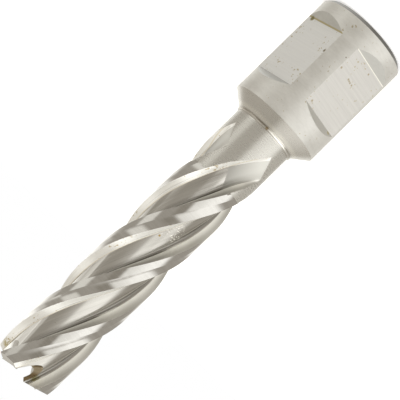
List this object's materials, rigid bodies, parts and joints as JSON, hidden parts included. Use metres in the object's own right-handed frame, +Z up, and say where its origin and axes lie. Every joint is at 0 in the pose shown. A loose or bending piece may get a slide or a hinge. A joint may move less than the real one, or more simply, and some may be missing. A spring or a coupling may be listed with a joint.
{
  "type": "annular cutter",
  "caption": "Slim annular cutter with right-hand helical flutes, gulleted end teeth, a hollow core and a side-lock shank with clamping flats.",
  "frame": {"origin": "centre of the shank's end face, which the cutter stands on", "axes": "+Z up the cutter's axis from the shank to the teeth; +X points midway between the two clamping flats"},
  "size_m": [0.019, 0.019, 0.0877],
  "materials": {
    "ground_steel": "ground and polished tool steel"
  },
  "bodies": {
    "root": {"annular_cutter": "ground_steel"}
  },
  "joints": []
}
